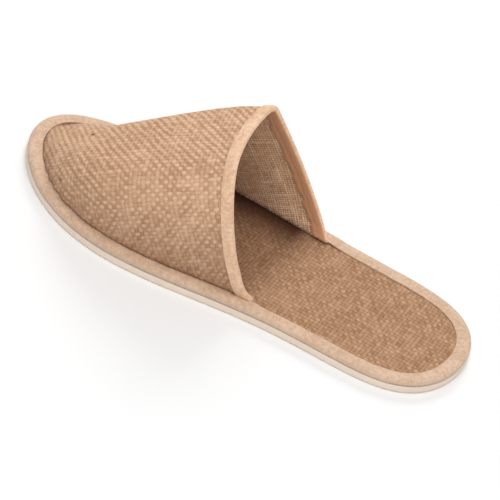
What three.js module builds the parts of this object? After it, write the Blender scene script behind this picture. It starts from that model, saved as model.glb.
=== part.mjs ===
import * as THREE from "three";

// A closed-toe, open-back slipper in millimetres. +Z is up, the toe points to -Y,
// the heel to +Y, and the outer side of the foot lies on +X.

// Main sizes
const LENGTH = 284;
const BALL_WIDTH = 103.7;
const TOE_SHIFT = 14.4;
const INSTEP_RISE = 79.6;
const OUTSOLE_THICK = 4.8;
const INSOLE_THICK = 1.4;
const WALL = 1.8;
const MARGIN_THICK = 0.7;
const TAPE_THICK = 0.7;
const SEAM_INSET = 8.8;
const MARGIN_WIDTH = 6;
const THROAT_TAPE_WIDTH = 7.4;
const INSOLE_INSET = 2.2;
const BINDING_LAP = 8;
const TAPE_END_GAP = 0.5;
const SWELL_SKEW = 0.7;
const SWELL_LEAN = 0.5;
const GAP = 0.3;
const SEAM_STEP = 0.2;
const SOLE_EDGE = 0.6;
const SOLE_FOOT = 0.9;
const LAP_EDGE = 0.4;
const MARGIN_START = 0.3;

// Where the upper ends along each side, as a share of the length from the toe
const OUTER_END = 0.589;
const INNER_END = 0.628;

// Heights that follow from the stack of layers
const INSOLE_BASE = OUTSOLE_THICK + GAP;
const INSOLE_TOP = INSOLE_BASE + INSOLE_THICK;
const MARGIN_BASE = INSOLE_TOP + GAP;
const MARGIN_TOP = MARGIN_BASE + MARGIN_THICK;
const SEAM_HEIGHT = MARGIN_TOP + SEAM_STEP;
const LAP_LIFT = MARGIN_THICK + GAP;

// How full the sole's outline is on each side, from the toe to the heel, in ball widths
const OUTLINE = [
  { outer: 1.353, inner: 1.174 },
  { outer: 1.444, inner: 0.743 },
  { outer: 1.365, inner: 1.007 },
  { outer: 0.825, inner: 0.846 },
  { outer: 0.546, inner: 0.654 },
  { outer: 0.984, inner: 0.918 },
  { outer: 1.648, inner: 1.591 },
];

// Cross-sections of the upper, from the toe (run 0) to the throat (run 1). A crease is
// placed as a share of the width between the seams; rises, leans toward the toe and
// swells of the sides are shares of the instep rise; soft is how far a crease is
// rounded, as a share of the way over the foot.
const SECTIONS = [
  { run: 0.0, outerCrease: 0.28, outerRise: 0.0, outerLean: 0.0, outerSwell: 0.0, outerSoft: 0.25,
    innerCrease: 0.72, innerRise: 0.0, innerLean: 0.0, innerSwell: 0.0, innerSoft: 0.25,
    crown: 0.0, crownLean: 0.0 },
  { run: 0.15, outerCrease: 0.26, outerRise: 0.04, outerLean: 0.0, outerSwell: 0.008, outerSoft: 0.22,
    innerCrease: 0.72, innerRise: 0.04, innerLean: 0.0, innerSwell: 0.0, innerSoft: 0.22,
    crown: 0.008, crownLean: 0.0 },
  { run: 0.3, outerCrease: 0.19, outerRise: 0.125, outerLean: 0.01, outerSwell: 0.03, outerSoft: 0.17,
    innerCrease: 0.721, innerRise: 0.131, innerLean: 0.02, innerSwell: 0.01, innerSoft: 0.18,
    crown: 0.02, crownLean: 0.0 },
  { run: 0.45, outerCrease: 0.13, outerRise: 0.26, outerLean: 0.04, outerSwell: 0.055, outerSoft: 0.14,
    innerCrease: 0.657, innerRise: 0.282, innerLean: 0.089, innerSwell: 0.019, innerSoft: 0.14,
    crown: 0.03, crownLean: 0.01 },
  { run: 0.6, outerCrease: 0.1, outerRise: 0.4, outerLean: 0.1, outerSwell: 0.065, outerSoft: 0.12,
    innerCrease: 0.685, innerRise: 0.482, innerLean: 0.213, innerSwell: 0.04, innerSoft: 0.1,
    crown: 0.03, crownLean: 0.03 },
  { run: 0.75, outerCrease: 0.08, outerRise: 0.56, outerLean: 0.19, outerSwell: 0.065, outerSoft: 0.1,
    innerCrease: 0.756, innerRise: 0.696, innerLean: 0.355, innerSwell: 0.047, innerSoft: 0.07,
    crown: 0.015, crownLean: 0.045 },
  { run: 0.9, outerCrease: 0.06, outerRise: 0.735, outerLean: 0.28, outerSwell: 0.065, outerSoft: 0.09,
    innerCrease: 0.833, innerRise: 0.91, innerLean: 0.485, innerSwell: 0.05, innerSoft: 0.04,
    crown: 0.001, crownLean: 0.06 },
  { run: 1.0, outerCrease: 0.03, outerRise: 0.84, outerLean: 0.335, outerSwell: 0.06, outerSoft: 0.08,
    innerCrease: 0.853, innerRise: 1.025, innerLean: 0.557, innerSwell: 0.106, innerSoft: 0.022,
    crown: -0.005, crownLean: 0.07 },
];

// The side of the edge binding, from the outsole up to its top: how far it is inside the
// outline, in millimetres, and the share of its height
const BINDING_SIDE = [
  { inset: 0.5, rise: 0 },
  { inset: 0, rise: 0.2 },
  { inset: 0, rise: 0.45 },
  { inset: 0.5, rise: 0.68 },
  { inset: 1.7, rise: 0.89 },
  { inset: 3.6, rise: 1 },
];

// How far past the upper's end the binding stays raised and where it is down, in turns
const END_CLEAR = 0.012;
const END_SLOPE = 0.09;

// Numbers of facets
const RUN_STEPS = 24;
const OVER_STEPS = 42;
const HEEL_STEPS = 20;
const PIECE_STEPS = 12;
const CALM_ROW = 3;
const CALM_COLUMN = 2;

// Curves

// A value of one column of a table, smoothly between its rows
function between(table, column, run) {
  const last = table.length - 2;
  let i = 0;
  while (i < last && run > table[i + 1].run) {
    i += 1;
  }
  const slope = (j) => {
    const a = table[Math.max(j - 1, 0)];
    const b = table[Math.min(j + 1, table.length - 1)];
    return (b[column] - a[column]) / (b.run - a.run);
  };
  const from = table[i];
  const to = table[i + 1];
  const span = to.run - from.run;
  const t = (run - from.run) / span;
  const keep = (1 + 2 * t) * (1 - t) * (1 - t);
  const start = t * (1 - t) * (1 - t) * span;
  const finish = t * t * (t - 1) * span;
  return keep * from[column] + (1 - keep) * to[column] + start * slope(i) + finish * slope(i + 1);
}

// The sum of a table's column weighted as a smooth curve of high order
function blend(column, share) {
  const order = OUTLINE.length - 1;
  let choose = 1;
  let sum = 0;
  OUTLINE.forEach((row, i) => {
    sum += row[column] * choose * share ** i * (1 - share) ** (order - i);
    choose = (choose * (order - i)) / (i + 1);
  });
  return sum;
}

// A point of the sole's outline. The turn runs from 0 at the toe to half a circle at
// the heel; negative turns follow the inner side of the foot.
function outlinePoint(turn) {
  const share = (1 - Math.cos(turn)) / 2;
  const side = turn >= 0 ? "outer" : "inner";
  const half = (Math.sin(turn) * BALL_WIDTH * blend(side, share)) / 2;
  const shift = TOE_SHIFT * (1 - share) * (1 - share);
  return new THREE.Vector2(half - shift, share * LENGTH);
}

// The outline moved inward by a distance
function insetPoint(turn, inset) {
  const step = 0.002;
  const point = outlinePoint(turn);
  const ahead = outlinePoint(turn + step);
  const behind = outlinePoint(turn - step);
  const along = ahead.sub(behind).normalize();
  return new THREE.Vector2(point.x - along.y * inset, point.y + along.x * inset);
}

// The turn at which the seam reaches a distance from the toe on one side
function turnAt(distance, side) {
  let low = 0;
  let high = Math.PI;
  for (let i = 0; i < 40; i += 1) {
    const middle = (low + high) / 2;
    if (insetPoint(side * middle, SEAM_INSET).y < distance) {
      low = middle;
    } else {
      high = middle;
    }
  }
  return low;
}

const OUTER_TURN = turnAt(OUTER_END * LENGTH, 1);
const INNER_TURN = turnAt(INNER_END * LENGTH, -1);

// The upper's outer surface

// A point on a side or top of a section: the straight way between two points, moved
// outward most at a middle that lies lower on the sides
function swelled(from, to, t, outward, skew) {
  const bent = skew > 0 ? t ** SWELL_SKEW : 1 - (1 - t) ** SWELL_SKEW;
  const amount = skew === 0 ? 4 * t * (1 - t) : 4 * bent * (1 - bent);
  return from.clone().lerp(to, t).addScaledVector(outward, amount);
}

// The way over the foot at one section, as evenly spread points from the outer seam
// across both creases to the inner seam
function sectionPath(run) {
  const value = (column) => between(SECTIONS, column, run);
  const start = insetPoint(OUTER_TURN * run, SEAM_INSET);
  const end = insetPoint(-INNER_TURN * run, SEAM_INSET);
  const crease = (share, rise, lean) => {
    const plan = start.clone().lerp(end, share);
    return new THREE.Vector3(plan.x, plan.y - lean * INSTEP_RISE, SEAM_HEIGHT + rise * INSTEP_RISE);
  };
  const outerFoot = crease(0, 0, 0);
  const innerFoot = crease(1, 0, 0);
  const outerCrease = crease(value("outerCrease"), value("outerRise"), value("outerLean"));
  const innerCrease = crease(value("innerCrease"), value("innerRise"), value("innerLean"));
  const bulge = (share, side) => {
    return new THREE.Vector3(side, -SWELL_LEAN, 0).multiplyScalar(share * INSTEP_RISE);
  };
  const outerSwell = bulge(value("outerSwell"), 1);
  const innerSwell = bulge(value("innerSwell"), -1);
  const crown = new THREE.Vector3(0, -value("crownLean") * INSTEP_RISE, value("crown") * INSTEP_RISE);
  const pieces = [
    [outerFoot, outerCrease, outerSwell, 1],
    [outerCrease, innerCrease, crown, 0],
    [innerCrease, innerFoot, innerSwell, -1],
  ];
  const points = [outerFoot];
  pieces.forEach(([from, to, outward, skew]) => {
    for (let i = 1; i <= PIECE_STEPS; i += 1) {
      points.push(swelled(from, to, i / PIECE_STEPS, outward, skew));
    }
  });
  return points;
}

// A point at a share of the length of a row of points
function pointAlong(points, lengths, share) {
  const total = lengths[lengths.length - 1];
  const wanted = Math.min(Math.max(share, 0), 1) * total;
  let i = 1;
  while (i < points.length - 1 && lengths[i] < wanted) {
    i += 1;
  }
  const span = Math.max(lengths[i] - lengths[i - 1], 1e-9);
  return points[i - 1].clone().lerp(points[i], (wanted - lengths[i - 1]) / span);
}

// The section at one run as a smooth function of the share of the way over the foot
function section(run) {
  const points = sectionPath(run);
  const lengths = [0];
  for (let i = 1; i < points.length; i += 1) {
    lengths.push(lengths[i - 1] + points[i].distanceTo(points[i - 1]));
  }
  const total = Math.max(lengths[lengths.length - 1], 1e-9);
  const outerShare = lengths[PIECE_STEPS] / total;
  const innerShare = lengths[2 * PIECE_STEPS] / total;
  const outerSoft = between(SECTIONS, "outerSoft", run);
  const innerSoft = between(SECTIONS, "innerSoft", run);
  return (share) => {
    const past = (share - outerShare) / Math.max(innerShare - outerShare, 1e-9);
    const mix = Math.min(Math.max(past, 0), 1);
    const soft = outerSoft + (innerSoft - outerSoft) * mix;
    const reach = Math.min(soft, share, 1 - share);
    const samples = 8;
    const sum = new THREE.Vector3();
    for (let i = 0; i <= samples; i += 1) {
      const offset = (i / samples - 0.5) * 2 * reach;
      sum.add(pointAlong(points, lengths, share + offset));
    }
    return sum.divideScalar(samples + 1);
  };
}

// Solids

const OFFSET = new THREE.Vector3(0, -LENGTH / 2, 0);

// A closed mesh from points and faces, with its faces turned outward
function solid(name, points, faces, look) {
  let volume = 0;
  faces.forEach(([a, b, c]) => {
    volume += points[a].dot(points[b].clone().cross(points[c]));
  });
  const flat = [];
  points.forEach((point) => {
    const moved = point.clone().add(OFFSET);
    flat.push(moved.x, moved.y, moved.z);
  });
  const order = volume > 0 ? faces : faces.map(([a, b, c]) => [a, c, b]);
  const geometry = new THREE.BufferGeometry();
  geometry.setAttribute("position", new THREE.Float32BufferAttribute(flat, 3));
  geometry.setIndex(order.flat());
  geometry.computeVertexNormals();
  const mesh = new THREE.Mesh(geometry, new THREE.MeshStandardMaterial(look));
  mesh.name = name;
  return mesh;
}

// A triangle, left out where two of its corners fall together
function triangle(faces, a, b, c) {
  if (a !== b && b !== c && c !== a) {
    faces.push([a, b, c]);
  }
}

// Two triangles over four corners
function patch(faces, a, b, c, d) {
  triangle(faces, a, b, c);
  triangle(faces, a, c, d);
}

// Stations round the outline

// The turns on one side: the upper's stations, two close ones past its end where the
// binding comes down, then those round the heel
function stationsOf(end, side) {
  const turns = [];
  for (let i = 0; i <= RUN_STEPS; i += 1) {
    turns.push((side * end * i) / RUN_STEPS);
  }
  const past = end + END_CLEAR;
  const low = end + END_SLOPE;
  turns.push(side * past);
  for (let i = 0; i < HEEL_STEPS; i += 1) {
    turns.push(side * (low + ((Math.PI - low) * i) / HEEL_STEPS));
  }
  return turns;
}

const OUTER_TURNS = stationsOf(OUTER_TURN, 1);
const INNER_TURNS = stationsOf(INNER_TURN, -1);
const ROUND = [...OUTER_TURNS, Math.PI, ...INNER_TURNS.slice(1).reverse()];

// A point at a station, moved inward from the outline and raised from the floor
function edgePoint(turn, inset, height) {
  const plan = insetPoint(turn, inset);
  return new THREE.Vector3(plan.x, plan.y, height);
}

// Joins two rows of points of the same length; a closed row meets its own start
function strip(faces, low, high, closed) {
  const count = closed ? low.length : low.length - 1;
  for (let i = 0; i < count; i += 1) {
    const next = (i + 1) % low.length;
    patch(faces, low[i], low[next], high[next], high[i]);
  }
}

// A row of whole numbers that starts at a value
function numbers(start, count) {
  return Array.from({ length: count }, (_, i) => start + i);
}

// A slab with the outline of the sole, as rings of inset and height from the floor up
function slab(name, rings, look) {
  const points = [];
  const faces = [];
  const count = ROUND.length;
  const rows = rings.map(([inset, height], ring) => {
    ROUND.forEach((turn) => points.push(edgePoint(turn, inset, height)));
    return numbers(ring * count, count);
  });
  for (let ring = 1; ring < rows.length; ring += 1) {
    strip(faces, rows[ring - 1], rows[ring], true);
  }
  const half = count / 2;
  const across = (row) => {
    const outer = row.slice(0, half + 1);
    const inner = [row[0], ...row.slice(half).reverse()];
    return [outer, inner];
  };
  const [outerBase, innerBase] = across(rows[0]);
  const [outerTop, innerTop] = across(rows[rows.length - 1]);
  strip(faces, innerBase, outerBase, false);
  strip(faces, outerTop, innerTop, false);
  return solid(name, points, faces, look);
}

// Outsole and insole

const outsole = slab(
  "outsole",
  [
    [SOLE_FOOT, 0],
    [0, SOLE_FOOT],
    [0, OUTSOLE_THICK - SOLE_EDGE],
    [SOLE_EDGE, OUTSOLE_THICK],
  ],
  { color: 0xd9cdbb, roughness: 0.85, metalness: 0 },
);

const insole = slab(
  "insole",
  [
    [INSOLE_INSET, INSOLE_BASE],
    [INSOLE_INSET, INSOLE_TOP],
  ],
  { color: 0xb08658, roughness: 0.95, metalness: 0 },
);

// Binding round the edge of the sole

// How far the binding is raised over the upper's margin at a station
function lapLift(turn) {
  const end = turn >= 0 ? OUTER_TURN : INNER_TURN;
  const past = Math.abs(turn) - end - END_CLEAR;
  const share = Math.min(Math.max(past / (END_SLOPE - END_CLEAR), 0), 1);
  return LAP_LIFT * (1 - share);
}

function edgeBinding() {
  const points = [];
  const faces = [];
  const rows = ROUND.map((turn) => {
    const under = INSOLE_TOP + GAP + lapLift(turn);
    const top = under + TAPE_THICK;
    const side = BINDING_SIDE.map(({ inset, rise }) => [inset, INSOLE_BASE + rise * (top - INSOLE_BASE)]);
    const profile = [
      ...side,
      [BINDING_LAP - LAP_EDGE, top],
      [BINDING_LAP, top - LAP_EDGE],
      [BINDING_LAP, under],
      [INSOLE_INSET, under],
      [INSOLE_INSET - GAP, under - GAP],
      [INSOLE_INSET - GAP, INSOLE_BASE],
    ];
    const start = points.length;
    profile.forEach(([inset, height]) => points.push(edgePoint(turn, inset, height)));
    return numbers(start, profile.length);
  });
  rows.forEach((row, i) => strip(faces, row, rows[(i + 1) % rows.length], true));
  return solid("edge_binding", points, faces, { color: 0xd8ab86, roughness: 0.8, metalness: 0 });
}

// Upper

const COLUMNS = OVER_STEPS + 1;

// The number of a point of the upper's outer surface; all columns meet at the toe
function pointNumber(row, column) {
  return row === 0 ? 0 : 1 + (row - 1) * COLUMNS + column;
}

// Close to the seams and to the tip the facets crowd together, so there the directions
// are those of a few columns or rows further in, and the tip takes the mean of a row
function calm(outward) {
  for (let row = 1; row <= RUN_STEPS; row += 1) {
    for (let column = 0; column < CALM_COLUMN; column += 1) {
      outward[pointNumber(row, column)].copy(outward[pointNumber(row, CALM_COLUMN)]);
      const far = pointNumber(row, OVER_STEPS - CALM_COLUMN);
      outward[pointNumber(row, OVER_STEPS - column)].copy(outward[far]);
    }
  }
  const mean = new THREE.Vector3();
  for (let column = 0; column < COLUMNS; column += 1) {
    const settled = outward[pointNumber(CALM_ROW, column)];
    mean.add(settled);
    for (let row = 1; row < CALM_ROW; row += 1) {
      outward[pointNumber(row, column)].copy(settled);
    }
  }
  outward[0].copy(mean.normalize());
}

// The outer surface inside the seams, with the directions that face away from the foot
function outerSurface() {
  const points = [section(0)(0)];
  const faces = [];
  for (let row = 1; row <= RUN_STEPS; row += 1) {
    const here = section(row / RUN_STEPS);
    for (let column = 0; column < COLUMNS; column += 1) {
      points.push(here(column / OVER_STEPS));
    }
  }
  for (let row = 0; row < RUN_STEPS; row += 1) {
    for (let column = 0; column < OVER_STEPS; column += 1) {
      const corners = [
        pointNumber(row, column),
        pointNumber(row + 1, column),
        pointNumber(row + 1, column + 1),
        pointNumber(row, column + 1),
      ];
      patch(faces, ...corners);
    }
  }
  const outward = points.map(() => new THREE.Vector3());
  faces.forEach(([a, b, c]) => {
    const edge = points[b].clone().sub(points[a]);
    const normal = edge.cross(points[c].clone().sub(points[a]));
    outward[a].add(normal);
    outward[b].add(normal);
    outward[c].add(normal);
  });
  const top = outward[pointNumber(RUN_STEPS, Math.round(COLUMNS / 2))].z;
  outward.forEach((normal) => normal.normalize().multiplyScalar(Math.sign(top)));
  calm(outward);
  return { points, faces, outward };
}

const SURFACE = outerSurface();

// The seam's points from the outer end of the throat round the toe to the inner end,
// each with its station
function seamLoop() {
  const loop = [];
  for (let row = RUN_STEPS; row > 0; row -= 1) {
    loop.push({ number: pointNumber(row, 0), turn: OUTER_TURNS[row] });
  }
  loop.push({ number: 0, turn: 0 });
  for (let row = 1; row <= RUN_STEPS; row += 1) {
    loop.push({ number: pointNumber(row, OVER_STEPS), turn: INNER_TURNS[row] });
  }
  return loop;
}

function upper() {
  const loop = seamLoop();
  const seam = new Set(loop.map((place) => place.number));
  const outside = [...SURFACE.points];
  const inside = SURFACE.points.map((point, i) => {
    const inner = point.clone().addScaledVector(SURFACE.outward[i], -WALL);
    inner.z = seam.has(i) ? MARGIN_BASE : Math.max(inner.z, MARGIN_BASE);
    return inner;
  });
  const faces = [...SURFACE.faces];
  const rings = [loop.map((place) => place.number)];
  const insets = [SEAM_INSET - MARGIN_START, SEAM_INSET - MARGIN_WIDTH];
  insets.forEach((inset) => {
    const start = outside.length;
    loop.forEach(({ turn }) => {
      outside.push(edgePoint(turn, inset, MARGIN_TOP));
      inside.push(edgePoint(turn, inset, MARGIN_BASE));
    });
    rings.push(numbers(start, loop.length));
  });
  for (let ring = 1; ring < rings.length; ring += 1) {
    strip(faces, rings[ring - 1], rings[ring], false);
  }
  const shift = outside.length;
  const points = [...outside, ...inside];
  const whole = [...faces];
  faces.forEach(([a, b, c]) => whole.push([a + shift, c + shift, b + shift]));
  const throat = numbers(pointNumber(RUN_STEPS, 0), COLUMNS);
  const border = [
    ...throat,
    ...rings.slice(1).map((ring) => ring[ring.length - 1]),
    ...[...rings[rings.length - 1]].reverse().slice(1),
    ...rings.slice(1, -1).reverse().map((ring) => ring[0]),
  ];
  strip(whole, border.map((number) => number + shift), border, true);
  return solid("upper", points, whole, { color: 0xb5895c, roughness: 0.95, metalness: 0 });
}

// Tape folded over the throat's edge

// A point near the throat: back is the distance from the edge toward the toe, out is
// the distance from the outer surface
function throatPoint(column, back, out) {
  const edge = pointNumber(RUN_STEPS, column);
  const behind = pointNumber(RUN_STEPS - 1, column);
  const inward = SURFACE.points[behind].clone().sub(SURFACE.points[edge]);
  const share = back / inward.length();
  const point = SURFACE.points[edge].clone().addScaledVector(inward, share);
  const normal = SURFACE.outward[edge].clone();
  normal.lerp(SURFACE.outward[behind], Math.max(share, 0)).normalize();
  return point.addScaledVector(normal, out);
}

function throatBinding() {
  const points = [];
  const faces = [];
  const face = GAP;
  const back = -WALL - GAP;
  const lap = THROAT_TAPE_WIDTH;
  const profile = [
    [lap, face],
    [lap - 0.2, face + TAPE_THICK * 0.8],
    [lap * 0.5, face + TAPE_THICK],
    [0.4, face + TAPE_THICK],
    [-0.9, face + TAPE_THICK * 0.4],
    [-GAP - TAPE_THICK, -WALL / 2],
    [-0.9, back - TAPE_THICK * 0.4],
    [0.4, back - TAPE_THICK],
    [lap * 0.5, back - TAPE_THICK],
    [lap - 0.2, back - TAPE_THICK * 0.8],
    [lap, back],
    [lap * 0.5, back],
    [-GAP, back],
    [-GAP, face],
    [lap * 0.5, face],
  ];
  const lapTop = MARGIN_TOP + GAP + TAPE_THICK;
  const endPoint = (edge, next, [away, out]) => {
    const from = throatPoint(edge, away, out);
    const to = throatPoint(next, away, out);
    const height = out > -0.2 ? lapTop + TAPE_END_GAP : MARGIN_BASE + TAPE_END_GAP;
    return from.lerp(to, (height - from.z) / (to.z - from.z));
  };
  const rows = [];
  for (let column = 0; column < COLUMNS; column += 1) {
    const start = points.length;
    profile.forEach((place) => {
      if (column === 0) {
        points.push(endPoint(0, 1, place));
      } else if (column === OVER_STEPS) {
        points.push(endPoint(OVER_STEPS, OVER_STEPS - 1, place));
      } else {
        points.push(throatPoint(column, ...place));
      }
    });
    rows.push(numbers(start, profile.length));
  }
  for (let i = 1; i < rows.length; i += 1) {
    strip(faces, rows[i - 1], rows[i], true);
  }
  // The ends are closed by strips between the two faces of the folded tape
  const close = (row, turned) => {
    const outer = [0, 1, 2, 3, 4, 5, 6, 7, 8, 9, 10].map((k) => row[k]);
    const inner = [0, 0, 14, 13, 13, 13, 12, 12, 11, 10, 10].map((k) => row[k]);
    strip(faces, turned ? outer : inner, turned ? inner : outer, false);
  };
  close(rows[0], false);
  close(rows[rows.length - 1], true);
  return solid("throat_binding", points, faces, { color: 0xdab08c, roughness: 0.8, metalness: 0 });
}

// The whole slipper, standing on the floor with the middle of its footprint at the origin
const slipper = new THREE.Group();
slipper.name = "jute_slipper";
slipper.add(outsole, insole, edgeBinding(), upper(), throatBinding());
const box = new THREE.Box3().setFromObject(slipper);
const middle = box.getCenter(new THREE.Vector3());
slipper.children.forEach((mesh) => mesh.geometry.translate(-middle.x, -middle.y, -box.min.z));

export default slipper;
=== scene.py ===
import math

import bmesh
import bpy
import numpy as np
from mathutils import Matrix, Vector, noise


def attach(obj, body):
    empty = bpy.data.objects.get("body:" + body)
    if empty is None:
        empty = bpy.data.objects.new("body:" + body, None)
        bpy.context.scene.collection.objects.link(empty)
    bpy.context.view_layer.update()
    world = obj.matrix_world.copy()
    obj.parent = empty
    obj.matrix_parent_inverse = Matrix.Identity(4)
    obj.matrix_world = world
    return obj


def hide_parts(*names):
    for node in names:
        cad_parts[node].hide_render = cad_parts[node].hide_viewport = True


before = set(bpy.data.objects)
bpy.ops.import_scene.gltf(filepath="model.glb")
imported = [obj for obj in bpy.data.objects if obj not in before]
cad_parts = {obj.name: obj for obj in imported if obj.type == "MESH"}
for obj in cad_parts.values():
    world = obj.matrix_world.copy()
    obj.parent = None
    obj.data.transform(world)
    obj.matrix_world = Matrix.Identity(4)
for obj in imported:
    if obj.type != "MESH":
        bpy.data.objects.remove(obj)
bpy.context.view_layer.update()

# The slipper's own sizes, in millimetres
MM = 0.001
LENGTH = 284.0
BALL_WIDTH = 103.7
TOE_SHIFT = 14.4
INSTEP_RISE = 79.6
OUTSOLE_THICK = 4.8
INSOLE_BASE = 5.1
INSOLE_TOP = 6.5
WALL = 1.8
MARGIN_TOP = 7.5
SEAM_HEIGHT = 7.7
SEAM_INSET = 8.8
MARGIN_INSET = 2.8
INSOLE_INSET = 2.2
LAP_LIFT = 1.0
TAPE_THICK = 0.7
THROAT_LAP = 5.6
THROAT_LAP_INSIDE = 7.6
OUTER_END = 0.589
INNER_END = 0.628
SWELL_SKEW = 0.7
SWELL_LEAN = 0.5
SIDE_SHIFT = -1.07

# How far apart the yarns lie, across and along
UPPER_YARN = (2.2, 2.5)
INSOLE_YARN = (2.5, 2.2)
LINING_YARN = (1.5, 1.7)
TAPE_RIB = (0.5, 0.5)

# The stitches, the groove that they lie in, and how far the edge's groove is inside
# the outline
STITCH_STEP = 3.2
STITCH_LONG = 2.4
STITCH_THICK = 0.32
THROAT_GROOVE = 0.78
EDGE_GROOVE = 6.15

# How full the sole's outline is on the outer and inner side, from toe to heel
OUTLINE = (
    (1.353, 1.174),
    (1.444, 0.743),
    (1.365, 1.007),
    (0.825, 0.846),
    (0.546, 0.654),
    (0.984, 0.918),
    (1.648, 1.591),
)

# Sections of the upper from the toe (run 0) to the throat (run 1)
SECTION_NAMES = (
    "run outer_crease outer_rise outer_lean outer_swell outer_soft "
    "inner_crease inner_rise inner_lean inner_swell inner_soft crown crown_lean"
).split()
SECTIONS = (
    (0.0, 0.28, 0.0, 0.0, 0.0, 0.25, 0.72, 0.0, 0.0, 0.0, 0.25, 0.0, 0.0),
    (0.15, 0.26, 0.04, 0.0, 0.008, 0.22, 0.72, 0.04, 0.0, 0.0, 0.22, 0.008, 0.0),
    (0.3, 0.19, 0.125, 0.01, 0.03, 0.17, 0.721, 0.131, 0.02, 0.01, 0.18, 0.02, 0.0),
    (0.45, 0.13, 0.26, 0.04, 0.055, 0.14, 0.657, 0.282, 0.089, 0.019, 0.14, 0.03, 0.01),
    (0.6, 0.1, 0.4, 0.1, 0.065, 0.12, 0.685, 0.482, 0.213, 0.04, 0.1, 0.03, 0.03),
    (0.75, 0.08, 0.56, 0.19, 0.065, 0.1, 0.756, 0.696, 0.355, 0.047, 0.07, 0.015, 0.045),
    (0.9, 0.06, 0.735, 0.28, 0.065, 0.09, 0.833, 0.91, 0.485, 0.05, 0.04, 0.001, 0.06),
    (1.0, 0.03, 0.84, 0.335, 0.06, 0.08, 0.853, 1.025, 0.557, 0.106, 0.022, -0.005, 0.07),
)


# Curves


def section_value(name, run):
    """One column of the sections, smoothly between its rows"""
    k = SECTION_NAMES.index(name)
    last = len(SECTIONS) - 2
    i = 0
    while i < last and run > SECTIONS[i + 1][0]:
        i += 1

    def slope(j):
        a = SECTIONS[max(j - 1, 0)]
        b = SECTIONS[min(j + 1, last + 1)]
        return (b[k] - a[k]) / (b[0] - a[0])

    span = SECTIONS[i + 1][0] - SECTIONS[i][0]
    t = (run - SECTIONS[i][0]) / span
    keep = (1 + 2 * t) * (1 - t) ** 2
    value = keep * SECTIONS[i][k] + (1 - keep) * SECTIONS[i + 1][k]
    value += t * (1 - t) ** 2 * span * slope(i)
    return value + t * t * (t - 1) * span * slope(i + 1)


def outline_point(turn):
    """A point of the sole's outline; the turn is 0 at the toe, half a circle at the heel"""
    share = (1 - math.cos(turn)) / 2
    order = len(OUTLINE) - 1
    side = 0 if turn >= 0 else 1
    full = 0.0
    for i, fullness in enumerate(OUTLINE):
        full += fullness[side] * math.comb(order, i) * share**i * (1 - share) ** (order - i)
    half = math.sin(turn) * BALL_WIDTH * full / 2
    return Vector((half - TOE_SHIFT * (1 - share) ** 2, share * LENGTH))


def inset_point(turn, inset, height=0.0):
    """A point at a distance inside the outline and at a height over the floor"""
    along = (outline_point(turn + 0.002) - outline_point(turn - 0.002)).normalized()
    point = outline_point(turn)
    return Vector((point.x - along.y * inset, point.y + along.x * inset, height))


def turn_at(distance, side):
    """The turn at which the seam is a distance from the toe"""
    low, high = 0.0, math.pi
    for _ in range(40):
        middle = (low + high) / 2
        if inset_point(side * middle, SEAM_INSET).y < distance:
            low = middle
        else:
            high = middle
    return low


OUTER_TURN = turn_at(OUTER_END * LENGTH, 1)
INNER_TURN = turn_at(INNER_END * LENGTH, -1)


def placed(point):
    """From the maker's millimetres to the row's frame in metres"""
    return Vector((point[0] + SIDE_SHIFT, point[1] - LENGTH / 2, point[2])) * MM


# The upper's surface

PIECE_STEPS = 30
RUNS = 132
OVERS = 168


def section_path(run):
    """The way over the foot at one section, before it is softened at the creases"""
    start = inset_point(OUTER_TURN * run, SEAM_INSET, SEAM_HEIGHT)
    end = inset_point(-INNER_TURN * run, SEAM_INSET, SEAM_HEIGHT)

    def crease(side):
        plan = start.lerp(end, section_value(side + "_crease", run))
        lean = section_value(side + "_lean", run) * INSTEP_RISE
        rise = section_value(side + "_rise", run) * INSTEP_RISE
        return plan + Vector((0, -lean, rise))

    outer, inner = crease("outer"), crease("inner")
    outer_swell = Vector((1, -SWELL_LEAN, 0)) * section_value("outer_swell", run) * INSTEP_RISE
    inner_swell = Vector((-1, -SWELL_LEAN, 0)) * section_value("inner_swell", run) * INSTEP_RISE
    crown = Vector((0, -section_value("crown_lean", run), section_value("crown", run))) * INSTEP_RISE
    points = [start]
    for a, b, bulge, skew in (
        (start, outer, outer_swell, 1),
        (outer, inner, crown, 0),
        (inner, end, inner_swell, -1),
    ):
        for i in range(1, PIECE_STEPS + 1):
            t = i / PIECE_STEPS
            bent = t if skew == 0 else (t**SWELL_SKEW if skew > 0 else 1 - (1 - t) ** SWELL_SKEW)
            points.append(a.lerp(b, t) + bulge * (4 * bent * (1 - bent)))
    return np.array(points)


def section_points(run, shares):
    """The softened section at even shares of the way over the foot"""
    path = section_path(run)
    steps = np.linalg.norm(np.diff(path, axis=0), axis=1)
    lengths = np.concatenate(([0], np.cumsum(steps)))
    total = max(lengths[-1], 1e-9)
    outer_share = lengths[PIECE_STEPS] / total
    inner_share = lengths[2 * PIECE_STEPS] / total
    mix = np.clip((shares - outer_share) / max(inner_share - outer_share, 1e-9), 0, 1)
    soft = section_value("outer_soft", run) * (1 - mix) + section_value("inner_soft", run) * mix
    reach = np.minimum(np.minimum(soft, shares), 1 - shares)
    total_points = np.zeros((len(shares), 3))
    samples = 16
    for i in range(samples + 1):
        wanted = (shares + (i / samples - 0.5) * 2 * reach) * total
        total_points += np.stack([np.interp(wanted, lengths, path[:, k]) for k in range(3)], 1)
    return total_points / (samples + 1)


def hump(value, middle, width):
    """A soft hump of height 1"""
    return np.exp(-(((value - middle) / width) ** 2))


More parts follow.
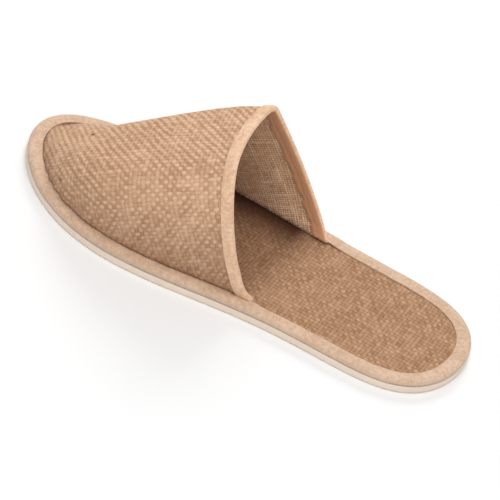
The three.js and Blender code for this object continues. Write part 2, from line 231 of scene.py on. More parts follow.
def pressed_form(run, share):
    """How far the cloth stands out from its smooth form, in millimetres: the dip at the
    toe, the soft fold along the near side, and puckers at the seam"""
    out = -2.0 * hump(run, 0.2, 0.09) * hump(share, 0.82, 0.1)
    out += 0.8 * hump(run, 0.33, 0.1) * hump(share, 0.66, 0.14)
    out += -0.9 * hump(run, 0.62, 0.2) * hump(share, 0.42, 0.05 + 0.05 * run)
    out += 0.6 * hump(run, 0.7, 0.25) * hump(share, 0.31, 0.06)
    pucker = np.sin(run * 92 + 2.2 * np.sin(run * 17)) * hump(run, 0.42, 0.26)
    out += 0.42 * pucker * hump(share, 0.045, 0.035)
    pucker = np.sin(run * 70 + 1.5 * np.sin(run * 23)) * hump(run, 0.5, 0.3)
    return out + 0.3 * pucker * hump(share, 0.955, 0.03)


def cloth_surface():
    """Places and outward directions on an even net of runs and shares"""
    runs = np.linspace(0, 1, RUNS + 1)
    shares = np.linspace(0, 1, OVERS + 1)
    places = np.stack([section_points(run, shares) for run in runs])
    smooth = [Vector((0.021 * p[0], 0.021 * p[1], 0.021 * p[2])) for p in places.reshape(-1, 3)]
    waves = np.array([noise.noise(p) for p in smooth]).reshape(RUNS + 1, OVERS + 1)

    def directions():
        down = np.gradient(places, axis=0)
        over = np.gradient(places, axis=1)
        across = np.cross(down, over)
        size = np.linalg.norm(across, axis=2, keepdims=True)
        across = across / np.maximum(size, 1e-9)
        across[:4] = across[4]
        across[:, :2] = across[:, 2:3]
        across[:, -2:] = across[:, -3:-2]
        return across * np.sign(across[RUNS, OVERS // 2, 2])

    outward = directions()
    net_run, net_share = np.meshgrid(runs, shares, indexing="ij")
    fade = np.clip(net_run / 0.1, 0, 1)
    fade = fade * np.clip(net_share / 0.03, 0, 1) * np.clip((1 - net_share) / 0.03, 0, 1)
    throat = np.clip((1 - net_run) / 0.12, 0, 1)
    out = (pressed_form(net_run, net_share) + 0.5 * waves) * fade * (0.35 + 0.65 * throat)
    places += outward * out[..., None]
    return places, directions()


PLACES, OUTWARD = cloth_surface()


def cloth_at(run, share, out=0.0):
    """A point of the upper's surface, or at a distance out from it"""
    x = min(max(run, 0), 1) * RUNS
    y = min(max(share, 0), 1) * OVERS
    i, j = min(int(x), RUNS - 1), min(int(y), OVERS - 1)
    a, b = x - i, y - j

    def mixed(net):
        low = net[i, j] * (1 - b) + net[i, j + 1] * b
        high = net[i + 1, j] * (1 - b) + net[i + 1, j + 1] * b
        return low * (1 - a) + high * a

    outward = mixed(OUTWARD)
    return Vector(mixed(PLACES) + outward / np.linalg.norm(outward) * out)


# Making pieces


def finished(name, mesh, *materials):
    """A smooth-shaded object of the slipper that rides on its only body"""
    for polygon in mesh.polygons:
        polygon.use_smooth = True
    piece = bpy.data.objects.new(name, mesh)
    bpy.context.scene.collection.objects.link(piece)
    for material in materials:
        mesh.materials.append(material)
    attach(piece, "root")
    return piece


def net(name, columns, rows, place, plan=None, painted_shade=None):
    """A grid of columns and rows bent so that each corner lies where place says, with
    its flat plan, in metres, as its UV map, and how much painted shade darkens it as an
    attribute"""
    form = bmesh.new()
    bmesh.ops.create_grid(form, x_segments=columns, y_segments=rows, size=1)
    flat = form.loops.layers.uv.new("cloth")
    dark = form.verts.layers.float.new("painted_shade") if painted_shade else None
    spots = {}
    for vertex in form.verts:
        column = round((vertex.co.x + 1) / 2 * columns)
        row = round((vertex.co.y + 1) / 2 * rows)
        spots[vertex] = (column, row)
    if plan:
        for face in form.faces:
            for corner in face.loops:
                corner[flat].uv = plan(*spots[corner.vert])
    for vertex, (column, row) in spots.items():
        vertex.co = placed(place(column, row))
        if painted_shade:
            vertex[dark] = float(painted_shade(column, row))
    bmesh.ops.remove_doubles(form, verts=form.verts, dist=2e-6)
    bmesh.ops.dissolve_degenerate(form, edges=form.edges, dist=1e-7)
    mesh = bpy.data.meshes.new(name)
    form.to_mesh(mesh)
    form.free()
    return mesh


def faces_up(mesh, facing):
    """Turns the mesh over if the face nearest to a point looks away from a direction"""
    point, direction = facing
    nearest = min(mesh.polygons, key=lambda polygon: (polygon.center - point).length)
    if nearest.normal.dot(direction) < 0:
        mesh.flip_normals()


def thickened(piece, thick, offset, inner=0, group=None, share=1.0):
    """Gives a sheet its thickness"""
    wall = piece.modifiers.new("thickness", "SOLIDIFY")
    wall.thickness = thick * MM
    wall.offset = offset
    wall.use_even_offset = False
    wall.material_offset = inner
    wall.material_offset_rim = inner
    if group:
        wall.vertex_group = group
        wall.thickness_vertex_group = share


def laid_flat(piece, centre):
    """Lays the cloth flat as it was cut, so that its UV map is in metres with the
    thread running up the middle of the panel"""
    bpy.context.view_layer.objects.active = piece
    piece.select_set(True)
    bpy.ops.object.mode_set(mode="EDIT")
    bpy.ops.mesh.select_all(action="SELECT")
    bpy.ops.uv.unwrap(method="CONFORMAL", margin=0.0)
    bpy.ops.object.mode_set(mode="OBJECT")
    piece.select_set(False)
    mesh = piece.data
    flat = mesh.uv_layers.active.data
    at = {}
    for corner in mesh.loops:
        at[corner.vertex_index] = flat[corner.index].uv.copy()
    real = drawn = 0.0
    for edge in mesh.edges:
        a, b = edge.vertices
        real += (mesh.vertices[a].co - mesh.vertices[b].co).length
        drawn += (at[a] - at[b]).length
    size = real / drawn

    def nearest(point):
        return min(mesh.vertices, key=lambda vertex: (vertex.co - point).length).index

    toe, throat = (at[nearest(point)] for point in centre[:2])
    way = (throat - toe).normalized()
    side = at[nearest(centre[2])] - toe
    hand = 1 if way.x * side.y - way.y * side.x < 0 else -1
    for corner in flat:
        moved = (corner.uv - toe) * size
        along = moved.dot(way)
        across = (moved.x * way.y - moved.y * way.x) * hand
        corner.uv = (across, along)


# Shader nodes


class Wire:
    """A socket in a material's tree, which can be added, multiplied and so on"""

    def __init__(self, tree, socket=None):
        self.tree = tree
        self.socket = socket

    def node(self, kind, inputs=None, output=0, stops=None, **settings):
        """Adds a node, sets it, then feeds its sockets with values or wires"""
        made = self.tree.nodes.new("ShaderNode" + kind)
        for name, value in settings.items():
            setattr(made, name, value)
        if stops:
            ramp = made.color_ramp
            while len(ramp.elements) < len(stops):
                ramp.elements.new(1.0)
            for element, (position, colour) in zip(ramp.elements, stops):
                element.position = position
                element.color = (*colour, 1.0)
        for name, value in (inputs or {}).items():
            if isinstance(value, Wire):
                self.tree.links.new(value.socket, made.inputs[name])
            else:
                made.inputs[name].default_value = value
        return Wire(self.tree, made.outputs[output] if made.outputs else None)

    def maths(self, operation, *values, clamp=False):
        inputs = dict(enumerate(values))
        return self.node("Math", inputs, operation=operation, use_clamp=clamp)

    def __add__(self, other):
        return self.maths("ADD", self, other)

    __radd__ = __add__

    def __sub__(self, other):
        return self.maths("SUBTRACT", self, other)

    def __rsub__(self, other):
        return self.maths("SUBTRACT", other, self)

    def __mul__(self, other):
        return self.maths("MULTIPLY", self, other)

    __rmul__ = __mul__

    def __truediv__(self, other):
        return self.maths("DIVIDE", self, other)

    def __pow__(self, other):
        return self.maths("POWER", self, other)

    def sine(self):
        return self.maths("SINE", self)

    def floor(self):
        return self.maths("FLOOR", self)

    def part(self):
        return self.maths("FRACT", self)

    def size(self):
        return self.maths("ABSOLUTE", self)

    def root(self):
        return self.maths("SQRT", self)

    def most(self, other):
        return self.maths("MAXIMUM", self, other)

    def least(self, other):
        return self.maths("MINIMUM", self, other)

    def above(self, other):
        return self.maths("GREATER_THAN", self, other)

    def kept(self):
        return self.maths("ADD", self, 0.0, clamp=True)

    def eased(self, low, high, start=0.0, end=1.0):
        """A smooth change from start to end as the value goes from low to high"""
        values = {0: self, 1: low, 2: high, 3: start, 4: end}
        return self.node("MapRange", values, interpolation_type="SMOOTHSTEP")

    def tinted(self, first, second):
        """A colour between two, by this value"""
        values = {0: self, 6: colour_value(first), 7: colour_value(second)}
        return self.node("Mix", values, output=2, data_type="RGBA")


def colour_value(colour):
    """Leaves a wire as it is and gives a plain colour its alpha"""
    return colour if isinstance(colour, Wire) else (*colour, 1.0)


def srgb(red, green, blue):
    """A colour in 0 to 255 as the linear numbers that a shader takes"""

    def linear(level):
        share = level / 255
        return share / 12.92 if level <= 10 else ((share + 0.055) / 1.055) ** 2.4

    return linear(red), linear(green), linear(blue)


def new_material(name):
    material = bpy.data.materials.new(name)
    material.use_nodes = True
    tree = material.node_tree
    tree.nodes.clear()
    return material, Wire(tree)


def surface(tree, colour, roughness, height, strength=1.0, sheen=0.0):
    """The shader and output: height is in millimetres"""
    bump = tree.node("Bump", {"Height": height, "Distance": MM, "Strength": strength})
    shader = tree.node(
        "BsdfPrincipled",
        {
            "Base Color": colour,
            "Roughness": roughness,
            "Normal": bump,
            "IOR": 1.45,
            "Specular IOR Level": 0.25,
            "Sheen Weight": sheen,
            "Sheen Roughness": 0.5,
        },
    )
    tree.node("OutputMaterial", {"Surface": shader})


def uv_threads(tree, pitch):
    """The cloth's UV map counted in threads: across, along, and as a vector"""
    spot = tree.node("UVMap", uv_map="cloth")
    across = tree.node("SeparateXYZ", {0: spot}, output=0)
    along = tree.node("SeparateXYZ", {0: spot}, output=1)
    return across / (pitch[0] * MM), along / (pitch[1] * MM), spot


def object_threads(tree, pitch):
    """The place in the slipper counted in threads, seen from above"""
    spot = tree.node("TexCoord", output=3)
    across = tree.node("SeparateXYZ", {0: spot}, output=0)
    along = tree.node("SeparateXYZ", {0: spot}, output=1)
    return across / (pitch[0] * MM), along / (pitch[1] * MM), spot


def attribute_of(tree, name):
    return tree.node("Attribute", output=2, attribute_name=name)


def noise_of(tree, spot, scale, detail=2.0):
    return tree.node("TexNoise", {"Vector": spot, "Scale": scale, "Detail": detail})


def streak(tree, across, along, across_scale, along_scale, shift=0.0):
    """Noise drawn out along one direction of the threads"""
    spot = tree.node("CombineXYZ", {0: across * across_scale + shift, 1: along * along_scale, 2: shift})
    return tree.node("TexNoise", {"Vector": spot, "Scale": 1.0, "Detail": 2.0, "Roughness": 0.55})


def weave(tree, across, along, lean, relief=0.55, slack=0.5):
    """A plain weave: height in millimetres, how far into the holes, how light each yarn
    is, its fibres, and which yarn is on top. Across and along are counted in yarns. The
    crossings stand out in slanted rows, one way where lean is 0 and the other where 1."""
    wander = (streak(tree, across, along, 0.3, 0.07, 3.1) - 0.5) * slack * 2.2
    across = across + wander
    wander = (streak(tree, along, across, 0.3, 0.07, 7.7) - 0.5) * slack * 2.2
    along = along + wander
    over = (across * math.pi).sine() * (along * math.pi).sine()
    thick_warp = streak(tree, across.floor(), along, 3.7, 0.22, 11.0)
    thick_weft = streak(tree, along.floor(), across, 3.7, 0.22, 17.0)
    warp_edge = (across.part() * 2 - 1).size()
    weft_edge = (along.part() * 2 - 1).size()
    warp_wide = thick_warp * 0.8 + 0.48
    weft_wide = thick_weft * 0.8 + 0.48
    warp_round = (1 - (warp_edge / warp_wide) ** 2.0).most(0.0).root()
    weft_round = (1 - (weft_edge / weft_wide) ** 2.0).most(0.0).root()
    warp = warp_round * (0.7 + over * 0.42)
    weft = weft_round * (0.7 - over * 0.42)
    height = warp.most(weft)
    twist = across + along * 1.0
    fibres = streak(tree, twist, along - across, 9.0, 1.6, 23.0)
    lightness = warp.above(weft)
    yarn_light = lightness * thick_warp + (1 - lightness) * thick_weft
    rising = ((across - along) * math.pi + math.pi / 2).sine()
    falling = ((across + along) * math.pi + math.pi / 2).sine()
    rows = rising * (1 - lean) - falling * lean * 0.7
    return height * relief + fibres * 0.05, height, yarn_light, fibres, rows


def jute_cloth(name, threads, pitch, dark, middle, light, relief, holes, painted_shade=None, turning=None):
    """Coarse jute in a plain weave, with thick and thin yarns and holes darkened with
    painted shade. Turning gives, in millimetres from the middle, where its slanted rows
    change their way."""
    material, tree = new_material(name)
    across, along, spot = threads(tree, pitch)
    patch = noise_of(tree, spot, 26.0, 3.0)
    lean = ((across * pitch[0]).eased(*turning) + (patch - 0.5) * 1.6).kept() if turning else patch * 0.4
    height, depth, yarn, fibres, rows = weave(tree, across, along, lean, relief)
    rows = rows * noise_of(tree, spot, 95.0, 1.0).eased(0.35, 0.65, 0.25, 0.55 if turning else 0.1)
    cell = tree.node("CombineXYZ", {0: across.floor(), 1: along.floor()})
    cell = tree.node("TexWhiteNoise", {"Vector": cell}, noise_dimensions="2D")
    tone = rows + (cell - 0.5) * 0.45 + (yarn - 0.5) * 1.8 + (fibres - 0.5) * 1.0 + (patch - 0.5) * 0.7
    colour = (tone + 0.5).kept().tinted(middle, light)
    # Painted shade in the holes between the yarns, darkening toward the dark colour as far as holes says
    hole = depth.eased(0.2, 0.95, holes, 0.0)
    colour = hole.tinted(colour, dark)
    # Painted shade: where the mesh's shade attribute says, the cloth darkens toward this colour
    if painted_shade:
        colour = attribute_of(tree, "painted_shade").tinted(colour, painted_shade)
    surface(tree, colour, 0.9 - 0.12 * fibres, height, 0.55, 0.03)
    return material


def linen_lining(name):
    """A thinner, looser linen cloth, greyer than the jute, with long slubs"""
    material, tree = new_material(name)
    across, along, spot = uv_threads(tree, LINING_YARN)
    height, depth, yarn, fibres, rows = weave(tree, across, along, 0.5, 0.3, 0.4)
    slub_across = streak(tree, across, along, 0.9, 0.06, 31.0).eased(0.52, 0.72)
    slub_along = streak(tree, along, across, 0.9, 0.06, 37.0).eased(0.5, 0.7)
    slub = slub_across.most(slub_along)
    tone = rows * 0.12 + (yarn - 0.5) * 1.2 + (fibres - 0.5) * 0.6 + slub * 0.5
    colour = (tone + 0.32).kept().tinted(srgb(206, 156, 120), srgb(255, 226, 190))
    # Painted shade in the holes between the yarns
    hole = depth.eased(0.2, 0.9, 0.7, 0.0)
    colour = hole.tinted(colour, srgb(120, 80, 54))
    surface(tree, colour, 0.92, height + slub * 0.12, 0.9, 0.1)
    return material


def cotton_tape(name, pale, warm, rim=0.0, inside=None):
    """A fine, slightly ribbed cotton tape, greyer toward its outer rim, and darker and
    browner with painted shade on the side that is folded inward, where it has them"""
    material, tree = new_material(name)
    across, along, spot = uv_threads(tree, TAPE_RIB)
    over = (across * math.pi).sine() * (along * math.pi).sine()
    ribs = (along.part() * 2 - 1).size()
    fuzz = noise_of(tree, spot, 900.0, 2.0)
    cloud = noise_of(tree, spot, 70.0, 3.0)
    rumple = noise_of(tree, spot, 140.0, 2.0)
    mottle = noise_of(tree, spot, 420.0, 2.0)
    tone = ((cloud - 0.5) * 1.8 + (mottle - 0.5) * 2.6 + (fuzz - 0.5) * 1.2 + 0.5).kept()
    colour = tone.tinted(warm, pale)
    # Painted shade in the grooves between the ribs, and faintly darker where one set of yarns is on top
    colour = (ribs * 0.16 + over * 0.06).kept().tinted(colour, srgb(176, 134, 104))
    if rim:
        # Greyer toward the outer edge, fading out by rim millimetres in
        greyer_rim = (across * (TAPE_RIB[0] / rim)).eased(0.3, 1.0, 0.5, 0.0)
        colour = greyer_rim.tinted(colour, srgb(186, 170, 154))
    if inside:
        # Painted shade on the side folded inward, darker and browner
        folded_side_shade = (across * TAPE_RIB[0]).eased(THROAT_LAP + 2.6, THROAT_LAP + 4.1)
        colour = folded_side_shade.tinted(colour, inside)
    height = over * 0.045 + ribs * -0.05 + fuzz * 0.04 + rumple * 0.5
    surface(tree, colour, 0.86, height, 0.8, 0.2)
    return material


def sole_foam(name):
    """Cream foam rubber, cut at the edge and finely pitted, with fine ribs underneath"""
    material, tree = new_material(name)
    spot = tree.node("TexCoord", output=3)
    x = tree.node("SeparateXYZ", {0: spot}, output=0)
    y = tree.node("SeparateXYZ", {0: spot}, output=1)
    z = tree.node("SeparateXYZ", {0: spot}, output=2)
    pits = tree.node("TexVoronoi", {"Vector": spot, "Scale": 1500.0, "Randomness": 1.0})
    cloud = noise_of(tree, spot, 60.0, 3.0)
    low = z.eased(0.0, 0.0016, 1.0, 0.0)
    wave = ((y / MM + (x / MM * 0.42).sine() * 1.4) * (2 * math.pi / 4.2)).sine()
    tread = wave.eased(-0.35, 0.35) * z.eased(0.0, 0.0004, 1.0, 0.0)
    colour = cloud.tinted(srgb(232, 212, 194), srgb(242, 226, 210))
    colour = (low * 0.35).kept().tinted(colour, srgb(190, 170, 146))
    height = pits.least(0.6) * 0.06 + cloud * 0.1 + tread * 0.8
    surface(tree, colour, 0.62, height, 0.7)
    return material


def sewing_thread(name):
    material, tree = new_material(name)
    spot = tree.node("TexCoord", output=3)
    twist = tree.node("TexWave", {"Vector": spot, "Scale": 900.0, "Distortion": 2.0}, output=1)
    colour = twist.tinted(srgb(206, 164, 132), srgb(232, 196, 166))
    surface(tree, colour, 0.7, twist * 0.05, 0.6)
    return material


jute_upper = jute_cloth(
    "jute cloth of the upper",
    uv_threads,
    UPPER_YARN,
    # Colour of the painted shade in the holes
    dark=srgb(98, 56, 32),
    middle=srgb(187, 144, 110),
    light=srgb(230, 190, 157),
    relief=0.5,
    holes=0.3,
    # Painted shade colour, which the two real specks also use
    painted_shade=srgb(96, 60, 36),
    turning=(5.0, 105.0),
)
jute_insole = jute_cloth(
    "jute cloth of the insole",
    object_threads,
    INSOLE_YARN,
    # Colour of the painted shade in the holes
    dark=srgb(92, 56, 34),
    middle=srgb(160, 118, 84),
    light=srgb(196, 156, 124),
    relief=0.4,
    holes=0.4,
    # Painted shade colour for where the upper covers the insole
    painted_shade=srgb(60, 26, 8),
)
lining = linen_lining("linen lining")
edge_cotton = cotton_tape(
    "cotton tape of the edge",
    pale=srgb(224, 194, 168),
    warm=srgb(202, 168, 140),
    rim=5.5,
)
throat_cotton = cotton_tape(
    "cotton tape of the throat",
    pale=srgb(244, 208, 174),
    warm=srgb(220, 178, 146),
    # Painted shade colour of the face folded inward
    inside=srgb(198, 146, 108),
)
foam = sole_foam("sole foam")
thread = sewing_thread("sewing thread")


# The upper

MARGIN = 3
THROAT_STEPS = 16

# Dark specks by the toe: run, share and how dark
SPECKS = ((0.46, 0.504, 1.2), (0.43, 0.121, 0.6))


def painted_shade_at(column, row):
    """How much painted shade darkens the cloth: a painted shadow of the tape's edge in the
    dip behind the toe, painted shade along the seams where the cloth goes under the tape,
    over the near side and lightly over the crown toward the far side; and two real dark
    specks, which ride on the same attribute"""
    run = row / RUNS
    share = min(max((column - MARGIN) / OVERS, 0), 1)
    width = max(run, 0.05)
    near = hump(share * width, 0.0, 0.011)
    far = hump((1 - share) * width, 0.0, 0.011)
    # Painted shade along both seams, where the cloth goes under the tape
    painted_shade = 0.25 * near + 0.2 * far
    # Painted shadow of the tape's edge in the dip behind the toe
    painted_shade += 0.5 * hump(run, 0.17, 0.1) * hump((1 - share) * width, 0.004, 0.028)
    # A light painted shade over the crown toward the far side
    painted_shade += 0.08 * hump(run, 0.75, 0.25) * hump(share, 0.8, 0.14)
    # Painted shade over the near side, deepest by its seam
    painted_shade += 0.1 * hump(run, 0.3, 0.12) * hump(share, 0.06, 0.05) + 0.34 * hump(share, 0.0, 0.17)
    # Two real dark specks in the cloth
    for speck_run, speck_share, depth in SPECKS:
        painted_shade += depth * hump(run, speck_run, 0.011) * hump(share, speck_share, 0.01)
    return min(painted_shade, 0.9)


def upper_cloth():
    """The jute panel: its outer face, the lining as its inner face, and the margin that
    lies flat under the binding"""
    columns = OVERS + 2 * MARGIN

    def place(column, row):
        run = row / RUNS
        over = column - MARGIN
        if 0 <= over <= OVERS:
            return PLACES[row, over]
        outside = (-over if over < 0 else over - OVERS) / MARGIN
        turn = OUTER_TURN * run if over < 0 else -INNER_TURN * run
        inset = SEAM_INSET - 0.2 + (MARGIN_INSET - SEAM_INSET + 0.2) * outside
        return inset_point(turn, inset, MARGIN_TOP)

    mesh = net("upper_cloth", columns, RUNS, place, None, painted_shade_at)
    top = placed(cloth_at(0.6, 0.5))
    faces_up(mesh, (top, Vector((0, 0, 1))))
    piece = finished("upper_cloth", mesh, jute_upper, lining)
    wall = piece.vertex_groups.new(name="wall")
    for vertex in mesh.vertices:
        rise = (vertex.co.z / MM - SEAM_HEIGHT - 0.05) / 2.5
        wall.add([vertex.index], min(max(rise, 0), 1), "REPLACE")
    laid_flat(piece, (placed(cloth_at(0, 0.5)), placed(cloth_at(1, 0.55)), placed(cloth_at(1, 0.0))))
    thickened(piece, WALL, -1, inner=1, group="wall", share=0.5)
    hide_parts("upper")


def throat_spot(share, back, out):
    """A point by the throat: back from its edge along the cloth, out from its face"""
    near, far = PLACES[RUNS], PLACES[RUNS - THROAT_STEPS]
    j = int(min(share * OVERS, OVERS))
    reach = float(np.linalg.norm(near[j] - far[j]))
    run = 1 - max(back, 0) / reach * THROAT_STEPS / RUNS
    point = cloth_at(run, share, out)
    if back < 0:
        edge = cloth_at(1, share)
        along = (edge - cloth_at(1 - 3 / RUNS, share)).normalized()
        point += along * -back
    return point


def throat_tape():
    """The tape folded over the throat's edge and sewn through"""
    half = TAPE_THICK / 2
    lap, inside = THROAT_LAP, THROAT_LAP_INSIDE
    face = 0.12 + half
    back = -WALL - 0.12 - half
    middle = (face + back) / 2
    round_fold = (face - back) / 2
    groove = lap * THROAT_GROOVE
    profile = [(lap, face - 0.1), (lap - 0.25, face + 0.06), (lap * 0.86, face + 0.1), (groove, face - 0.04)]
    profile += [(lap * 0.7, face + 0.06), (lap * 0.5, face + 0.16), (lap * 0.25, face + 0.16)]
    for i in range(9):
        angle = math.pi * (i / 8 - 0.5)
        profile.append((0.3 - 1.15 * math.cos(angle), middle - (round_fold + 0.08) * math.sin(angle)))
    profile += [(inside * 0.25, back - 0.16), (inside * 0.45, back - 0.16), (lap * 0.7, back - 0.06)]
    profile += [(groove, back + 0.04), (lap * 0.9, back - 0.1), (inside - 0.25, back - 0.06)]
    profile += [(inside, back + 0.1)]
    steps = 190

    def place(column, row):
        away, out = profile[column]
        share = row / steps
        reach = share * 41
        if away > 1:
            wander = noise.noise(Vector((reach, 0.0, 3.0 if out > middle else 9.0)))
            away += wander * (0.35 if out > middle else 1.5) * (away / lap) ** 2
        out += 0.16 * noise.noise(Vector((reach * 1.3, away * 0.3, 5.0))) * (1 if out > middle else -1)
        point = throat_spot(share, away, out)
        point.y += 2.0 * max(1 - share / 0.03, 0) ** 1.4 * max(1 - max(away, 0) / lap, 0)
        return point

    widths = [0.0]
    for (a, b), (c, d) in zip(profile, profile[1:]):
        widths.append(widths[-1] + math.hypot(c - a, d - b))
    edge = [cloth_at(1, row / steps) for row in range(steps + 1)]
    lengths = [0.0]
    for a, b in zip(edge, edge[1:]):
        lengths.append(lengths[-1] + (b - a).length)
    mesh = net(
        "throat_tape",
        len(profile) - 1,
        steps,
        place,
        lambda column, row: (widths[column] * MM, lengths[row] * MM),
    )
    faces_up(mesh, (placed(throat_spot(0.5, lap / 2, face + 1)), Vector((0.2, 0, 1))))
    piece = finished("throat_tape", mesh, throat_cotton)
    thickened(piece, TAPE_THICK, 0)
    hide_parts("throat_binding")


# The sole and its binding

END_CLEAR = 0.012
END_SLOPE = 0.09


# The tape's rounded side: how far inside the outline, in millimetres, and the share of
# the tape's height
TAPE_SIDE = (
    (1.3, -0.01),
    (0.7, 0.02),
    (0.15, 0.1),
    (-0.1, 0.24),
    (-0.05, 0.42),
    (0.25, 0.6),
    (0.85, 0.76),
    (1.7, 0.88),
    (2.6, 0.96),
    (3.5, 1.02),
)


def lap_lift(turn):
    """How far the binding is raised where it covers the upper's margin"""
    end = OUTER_TURN if turn >= 0 else INNER_TURN
    share = min(max((abs(turn) - end - END_CLEAR) / (END_SLOPE - END_CLEAR), 0), 1)
    share = share * share * (3 - 2 * share)
    return LAP_LIFT * (1 - share)


def edge_tape():
    """The tape wrapped round the edge of the sole and lapped over the insole"""
    around = 420

    def profile(turn):
        under = INSOLE_TOP + 0.3 + lap_lift(turn)
        top = under + TAPE_THICK
        rise = top - INSOLE_BASE
        points = [(inset, INSOLE_BASE + rise * share) for inset, share in TAPE_SIDE]
        points += [(4.4, top + 0.06), (5.2, top + 0.0), (5.7, top - 0.08), (6.1, top - 0.18)]
        points += [(6.6, top - 0.16), (7.2, top - 0.16), (7.9, top - 0.2), (8.5, top - 0.36)]
        return points

    count = len(profile(0.0))

    def place(column, row):
        turn = -math.pi + 2 * math.pi * row / around
        inset, height = profile(turn)[column]
        plan = outline_point(turn) * 0.03
        flat = len(TAPE_SIDE) - 1
        if column > flat:
            loose = (column - flat) / (count - 1 - flat)
            inset += 0.3 * noise.noise(Vector((plan.x * 4, plan.y * 4, 2.0))) * loose
            height += 0.1 * noise.noise(Vector((plan.x * 6, plan.y * 6, inset * 0.4)))
        else:
            inset += 0.12 * noise.noise(Vector((plan.x * 5, plan.y * 5, height * 0.5)))
        return inset_point(turn, inset, height)

    lengths = [0.0]
    for row in range(around):
        a, b = (outline_point(-math.pi + 2 * math.pi * (row + k) / around) for k in (0, 1))
        lengths.append(lengths[-1] + (b - a).length)
    widths = [0.0]
    flat = profile(0.0)
    for (a, b), (c, d) in zip(flat, flat[1:]):
        widths.append(widths[-1] + math.hypot(c - a, d - b))
    mesh = net(
        "edge_tape",
        count - 1,
        around,
        place,
        lambda column, row: (widths[column] * MM, lengths[row] * MM),
    )
    faces_up(mesh, (placed(inset_point(math.pi, 4, 8)), Vector((0, 0, 1))))
    piece = finished("edge_tape", mesh, edge_cotton)
    thickened(piece, TAPE_THICK, -1)
    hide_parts("edge_binding")


def insole_pad():
    """The thin padded insole, pressed down a little where the binding holds it"""
    columns, rows = 36, 150

    def place(column, row):
        turn = math.pi * row / rows
        a = inset_point(turn, INSOLE_INSET, INSOLE_TOP)
        b = inset_point(-turn, INSOLE_INSET, INSOLE_TOP)
        point = a.lerp(b, column / columns)
        swell = noise.noise(Vector((point.x * 0.03, point.y * 0.03, 1.0)))
        edge = min(math.sin(turn), 1) * min(column, columns - column) / 4
        point.z += (0.12 * swell + 0.05) * min(edge, 1)
        return point

    # Painted shade on the insole where the upper covers it: deepest along the foot of the far wall, and a
    # little everywhere further toward the toe
    def painted_shade(column, row):
        point = place(column, row)
        depth = min(max((INNER_END * LENGTH - 4 - point.y) / 14, 0), 1)
        far = inset_point(-math.pi * row / rows, SEAM_INSET).x
        return 0.7 * depth * hump(point.x, far, 16) + 0.28 * depth * depth

    mesh = net("insole_pad", columns, rows, place, None, painted_shade)
    faces_up(mesh, (Vector((0, 0, INSOLE_TOP * MM)), Vector((0, 0, 1))))
    piece = finished("insole_pad", mesh, jute_insole)
    thickened(piece, INSOLE_TOP - INSOLE_BASE, -1)
    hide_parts("insole")


def foam_outsole():
    """The foam outsole: a slab on the outline with softly rounded edges"""
    around = 300
    form = bmesh.new()
    bmesh.ops.create_circle(form, cap_ends=True, segments=around, radius=1)
    for vertex in form.verts:
        angle = math.atan2(vertex.co.x, -vertex.co.y)
        vertex.co = placed(inset_point(angle, 0.0, 0.0))
    top = bmesh.ops.extrude_face_region(form, geom=form.faces[:])
    raised = [item for item in top["geom"] if isinstance(item, bmesh.types.BMVert)]
    bmesh.ops.translate(form, verts=raised, vec=Vector((0, 0, OUTSOLE_THICK * MM)))
    bmesh.ops.recalc_face_normals(form, faces=form.faces)
    for edges, width in (
        ([e for e in form.edges if all(v.co.z < 1e-6 for v in e.verts)], 0.9),
        ([e for e in form.edges if all(v.co.z > (OUTSOLE_THICK - 0.01) * MM for v in e.verts)], 0.5),
    ):
        bmesh.ops.bevel(
            form,
            geom=edges,
            offset=width * MM,
            offset_type="OFFSET",
            segments=3,
            profile=0.5,
            affect="EDGES",
            material=-1,
            clamp_overlap=True,
        )
    mesh = bpy.data.meshes.new("foam_outsole")
    form.to_mesh(mesh)
    form.free()
    piece = finished("foam_outsole", mesh, foam)
    for polygon in mesh.polygons:
        polygon.use_smooth = len(polygon.vertices) < 8
    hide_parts("outsole")


def stitch_row(name, spots):
    """A row of short stitches, each lying along the row between two spots"""
    form = bmesh.new()
    for here, there, up in spots:
        middle = (here + there) / 2
        along = (there - here).normalized()
        side = up.cross(along).normalized()
        turn = Matrix((along, side, along.cross(side))).transposed().to_4x4()
        size = Matrix.Diagonal((STITCH_LONG * MM / 2, STITCH_THICK * MM / 2, STITCH_THICK * MM / 2, 1))
        bmesh.ops.create_uvsphere(
            form,
            u_segments=6,
            v_segments=5,
            radius=1,
            matrix=Matrix.Translation(middle) @ turn @ size,
        )
    mesh = bpy.data.meshes.new(name)
    form.to_mesh(mesh)
    form.free()
    return finished(name, mesh, thread)


def along_path(path, up):
    """Even stitches along a path: where each starts and ends, and its upward way"""
    lengths = [0.0]
    for a, b in zip(path, path[1:]):
        lengths.append(lengths[-1] + (b - a).length)
    total = lengths[-1]
    count = int(total / (STITCH_STEP * MM))
    xs, ys, zs = (np.array([p[k] for p in path]) for k in range(3))

    def at(distance):
        return Vector([float(np.interp(distance, lengths, axis)) for axis in (xs, ys, zs)])

    spots = []
    for i in range(count):
        start = total * i / count
        index = int(np.interp(start, lengths, np.arange(len(path))))
        spots.append((at(start), at(start + STITCH_LONG * MM), up(index)))
    return spots


def binding_stitches():
    """The stitches in the groove of the binding, right round the sole"""
    around = 1400
    turns = [-math.pi + 2 * math.pi * i / around for i in range(around + 1)]
    path = []
    for turn in turns:
        top = INSOLE_TOP + 0.3 + lap_lift(turn) + TAPE_THICK
        path.append(placed(inset_point(turn, EDGE_GROOVE, top - 0.2)))
    return stitch_row("binding_stitches", along_path(path, lambda i: Vector((0, 0, 1))))


def throat_stitches():
    """The stitches through the folded tape of the throat, on its outer face"""
    steps = 400
    groove = THROAT_LAP * THROAT_GROOVE
    path = [placed(throat_spot(i / steps, groove, TAPE_THICK + 0.12)) for i in range(steps + 1)]

    def up(i):
        return Vector(OUTWARD[RUNS, round(i / steps * OVERS)])

    return stitch_row("throat_stitches", along_path(path, up))


upper_cloth()
throat_tape()
edge_tape()
insole_pad()
foam_outsole()
binding_stitches()
throat_stitches()


# Floor, light and camera


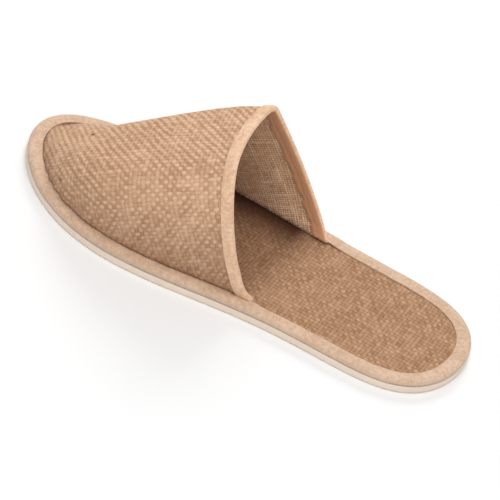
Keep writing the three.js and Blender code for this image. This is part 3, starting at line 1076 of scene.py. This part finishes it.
# Where the camera stands, in the maker's millimetres, and which way is right and up
# in its picture
CAMERA_PLACE = (1186.075, 579.8, 1090.85)
CAMERA_RIGHT = (-0.48101, 0.85681, 0.18578)
CAMERA_UP = (-0.50951, -0.44563, 0.73609)
CAMERA_LENS = 216.0


def floor():
    form = bmesh.new()
    bmesh.ops.create_grid(form, x_segments=1, y_segments=1, size=6)
    mesh = bpy.data.meshes.new("floor")
    form.to_mesh(mesh)
    form.free()
    ground = bpy.data.objects.new("floor", mesh)
    bpy.context.scene.collection.objects.link(ground)
    material, tree = new_material("white floor")
    shader = tree.node("BsdfPrincipled", {"Base Color": (0.9, 0.9, 0.9, 1), "Roughness": 0.9})
    tree.node("OutputMaterial", {"Surface": shader})
    mesh.materials.append(material)


def soft_light(name, place, towards, size, power):
    lamp = bpy.data.lights.new(name, "AREA")
    lamp.shape = "DISK"
    lamp.size = size
    lamp.energy = power
    holder = bpy.data.objects.new(name, lamp)
    way = Vector(towards) - Vector(place)
    holder.matrix_world = Matrix.Translation(place) @ way.to_track_quat("-Z", "Y").to_matrix().to_4x4()
    bpy.context.scene.collection.objects.link(holder)


def room_light():
    world = bpy.data.worlds.new("white room")
    world.use_nodes = True
    background = world.node_tree.nodes["Background"]
    background.inputs["Color"].default_value = (1, 1, 1, 1)
    background.inputs["Strength"].default_value = 0.54
    bpy.context.scene.world = world


def camera():
    lens = bpy.data.cameras.new("camera")
    lens.sensor_width = 36
    lens.lens = CAMERA_LENS
    lens.clip_end = 20
    holder = bpy.data.objects.new("camera", lens)
    right, up = Vector(CAMERA_RIGHT), Vector(CAMERA_UP)
    back = right.cross(up)
    turned = Matrix((right, up, back)).transposed().to_4x4()
    holder.matrix_world = Matrix.Translation(placed(CAMERA_PLACE)) @ turned
    bpy.context.scene.collection.objects.link(holder)
    bpy.context.scene.camera = holder


floor()
room_light()
soft_light("overhead", (0.35, 0.15, 1.35), (0, 0, 0), 0.9, 8.5)
soft_light("back", (-1.0, -0.35, 0.75), (0, 0, 0), 0.6, 5.5)
soft_light("front", (1.3, 0.9, 0.9), (0, 0, 0.03), 1.2, 3.6)
camera()
bpy.context.scene.view_settings.view_transform = "Standard"
